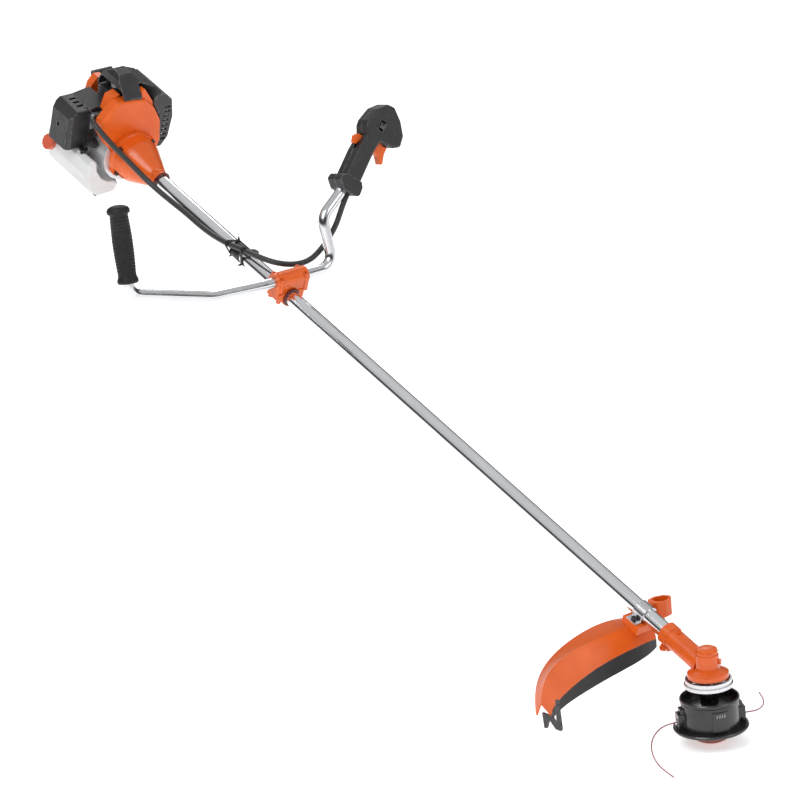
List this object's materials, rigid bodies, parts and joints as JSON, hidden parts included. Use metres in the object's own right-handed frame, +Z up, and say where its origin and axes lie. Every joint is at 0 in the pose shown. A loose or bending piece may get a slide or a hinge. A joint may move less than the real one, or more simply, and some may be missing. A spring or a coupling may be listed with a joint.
{
  "type": "string trimmer",
  "caption": "Long-shaft petrol string trimmer with a two-handed bar, throttle grip, fender guard and bump-feed line head.",
  "frame": {"origin": "centre of the harness eye, which the machine hangs from", "axes": "+Z up along the head spin axis, +X forward from the engine to the head, +Y to the left"},
  "size_m": [1.6806, 0.6109, 0.8862],
  "materials": {
    "chrome_tube": "polished",
    "bright_steel": "bright",
    "orange_shell": "gloss",
    "orange_cast": "gloss",
    "black_shell": "fine texture",
    "grip_rubber": "matt",
    "cast_alloy": "cast",
    "tank_plastic": "translucent",
    "cap_plastic": "gloss",
    "dark_steel": "oxide",
    "hose_rubber": "matt",
    "nylon_line": "gloss",
    "foam": "open cell",
    "ceramic": "glazed",
    "knob_plastic": "gloss"
  },
  "bodies": {
    "frame": {"outer_tube": "chrome_tube", "shaft_bushes": "hose_rubber", "harness_eye_band": "dark_steel", "clutch_housing": "orange_cast", "crankcase": "cast_alloy", "cylinder": "cast_alloy", "spark_plug": "ceramic", "spark_plug_boot": "grip_rubber", "fan_cover": "orange_shell", "top_cover": "black_shell", "muffler": "dark_steel", "muffler_cover": "black_shell", "carburettor": "cast_alloy", "air_filter_base": "black_shell", "air_filter_element": "foam", "air_filter_cover": "black_shell", "fuel_tank": "tank_plastic", "fuel_line": "hose_rubber", "starter_housing": "orange_shell", "handlebar_left": "chrome_tube", "handlebar_right": "chrome_tube", "left_grip": "grip_rubber", "clamp_base": "orange_cast", "clamp_middle": "orange_cast", "clamp_cap": "orange_cast", "handle_shell_front": "black_shell", "handle_shell_rear": "black_shell", "throttle_cable": "hose_rubber", "gear_case": "orange_cast", "ball_bearings": "bright_steel", "fasteners": "dark_steel", "guard": "orange_shell", "guard_skirt": "black_shell", "line_cutter": "black_shell", "guard_clamp": "bright_steel"},
    "driveline": {"drive_shaft": "bright_steel", "clutch_drum": "dark_steel"},
    "crank": {"crankshaft": "bright_steel", "flywheel_fan": "cast_alloy", "clutch_shoes": "dark_steel"},
    "piston": {"piston": "cast_alloy"},
    "head": {"output_gear_shaft": "bright_steel", "upper_flange": "bright_steel", "head_housing": "black_shell", "head_cover": "black_shell", "line_eyelets": "bright_steel", "line_tail_near": "nylon_line", "line_tail_far": "nylon_line", "knob_spring": "bright_steel"},
    "spool": {"spool": "black_shell", "wound_line": "nylon_line"},
    "knob": {"bump_knob": "knob_plastic"},
    "starter_reel": {"starter_pulley": "black_shell"},
    "starter_handle": {"starter_grip": "black_shell"},
    "trigger": {"throttle_trigger": "orange_shell"},
    "lockout": {"lockout_lever": "orange_shell"},
    "stop_button": {"stop_switch": "cap_plastic"},
    "throttle_valve": {"throttle_lever": "cast_alloy"},
    "choke": {"choke_lever": "black_shell"},
    "filler_cap": {"fuel_cap": "cap_plastic"}
  },
  "joints": [
    {"name": "head_spin", "type": "hinge", "parent": "frame", "child": "head", "pos_m": [1.1289, -0.028, -0.4705], "axis": [0, 0, 1], "continuous": true},
    {"name": "shaft_spin", "type": "hinge", "parent": "frame", "child": "driveline", "pos_m": [0.48455, -0.028, -0.19699], "axis": [0.9205, 0, -0.3907], "continuous": true},
    {"name": "crank_spin", "type": "hinge", "parent": "frame", "child": "crank", "pos_m": [-0.35311, -0.028, 0.15858], "axis": [0.9205, 0, -0.3907], "continuous": true},
    {"name": "piston_stroke", "type": "slide", "parent": "frame", "child": "piston", "axis": [0.3907, 0, 0.9205], "range_m": [0, 0.029]},
    {"name": "spool_feed", "type": "hinge", "parent": "head", "child": "spool", "pos_m": [1.1289, -0.028, -0.5465], "axis": [0, 0, 1], "continuous": true},
    {"name": "knob_bump", "type": "slide", "parent": "spool", "child": "knob", "axis": [0, 0, 1], "range_m": [0, 0.004], "stiffness_N_per_m": 900, "springref_m": -0.004, "deforming": ["knob_spring"]},
    {"name": "starter_pull", "type": "slide", "parent": "frame", "child": "starter_handle", "axis": [0, 0, 1], "range_m": [0, 0.6], "stiffness_N_per_m": 10, "springref_m": -0.1},
    {"name": "reel_spin", "type": "hinge", "parent": "frame", "child": "starter_reel", "pos_m": [-0.43595, -0.028, 0.19374], "axis": [0.9205, 0, -0.3907], "range_deg": [0, 1250]},
    {"name": "trigger_squeeze", "type": "hinge", "parent": "frame", "child": "trigger", "pos_m": [0.10773, 0.18894, 0.17372], "axis": [0.9925, 0, 0.1219], "range_deg": [0, 12], "stiffness_Nm_per_rad": 1.5, "springref_deg": -5.73},
    {"name": "throttle_valve_turn", "type": "hinge", "parent": "frame", "child": "throttle_valve", "pos_m": [-0.33795, -0.078, 0.21732], "axis": [0.3907, 0, 0.9205], "range_deg": [0, 62]},
    {"name": "lockout_press", "type": "hinge", "parent": "frame", "child": "lockout", "pos_m": [0.10683, 0.17232, 0.18108], "axis": [-0.9925, 0, -0.1219], "range_deg": [0, 9], "stiffness_Nm_per_rad": 0.8, "springref_deg": -5.73},
    {"name": "stop_switch_slide", "type": "slide", "parent": "frame", "child": "stop_button", "axis": [-0.0934, 0.6428, 0.7603], "range_m": [0, 0.003]},
    {"name": "choke_turn", "type": "hinge", "parent": "frame", "child": "choke", "pos_m": [-0.40697, -0.1, 0.20317], "axis": [0.9205, 0, -0.3907], "range_deg": [0, 60]},
    {"name": "fuel_cap_turn", "type": "hinge", "parent": "frame", "child": "filler_cap", "pos_m": [-0.43019, -0.1035, 0.1587], "axis": [0.1336, -0.9397, 0.3148], "continuous": true}
  ],
  "couplings": [
    {"joint": "shaft_spin", "follows": "head_spin", "ratio": -1.6667},
    {"joint": "reel_spin", "follows": "starter_pull", "rad_per_m": 35.088},
    {"joint": "throttle_valve_turn", "follows": "trigger_squeeze", "ratio": 5}
  ]
}
